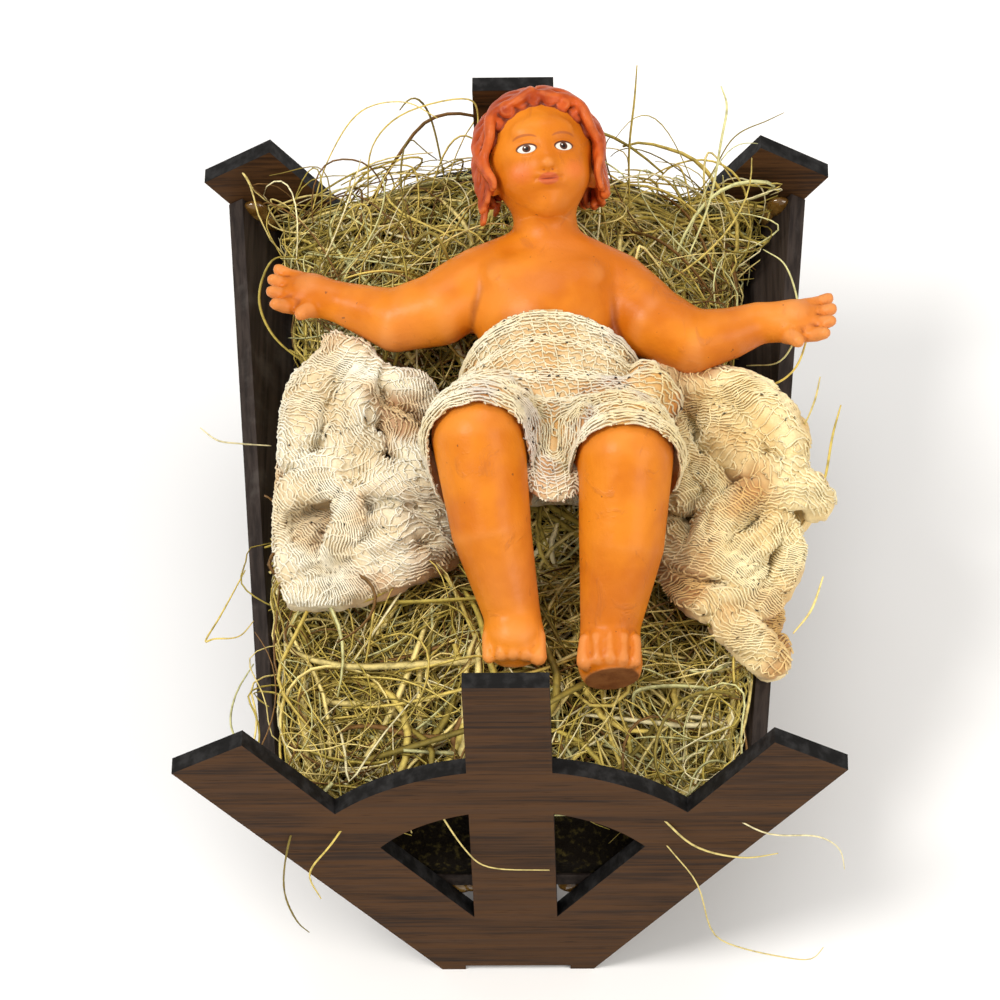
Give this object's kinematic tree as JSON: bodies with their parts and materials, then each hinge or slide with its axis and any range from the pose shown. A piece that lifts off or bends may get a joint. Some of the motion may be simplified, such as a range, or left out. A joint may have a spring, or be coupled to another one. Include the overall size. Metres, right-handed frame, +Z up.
{
  "type": "nativity baby figurine in a crib",
  "caption": "Small painted clay baby with a gauze loincloth, arms spread, lying on bunched cloth and hay in a dark wooden crib between two cut-out end panels",
  "frame": {"origin": "middle of the crib's footprint, on the surface that it stands on", "axes": "+Z up, +Y towards the baby's head, +X to the viewer's right when seen from the foot end"},
  "size_m": [0.11, 0.1274, 0.094],
  "materials": {
    "figure": "satin painted clay",
    "loincloth": "cream knitted gauze",
    "swaddling_cloth": "cream knitted gauze, bunched",
    "hay": "dried grass",
    "foot_panel": "stained, with scorched cut edges",
    "head_panel": "stained, with scorched cut edges",
    "side_board_left": "dark stained",
    "side_board_right": "dark stained",
    "floor_board": "dark stained"
  },
  "bodies": {
    "root": {"figure": "figure", "loincloth": "loincloth", "swaddling_cloth": "swaddling_cloth", "hay": "hay", "foot_panel": "foot_panel", "head_panel": "head_panel", "side_board_left": "side_board_left", "side_board_right": "side_board_right", "floor_board": "floor_board"}
  },
  "joints": []
}
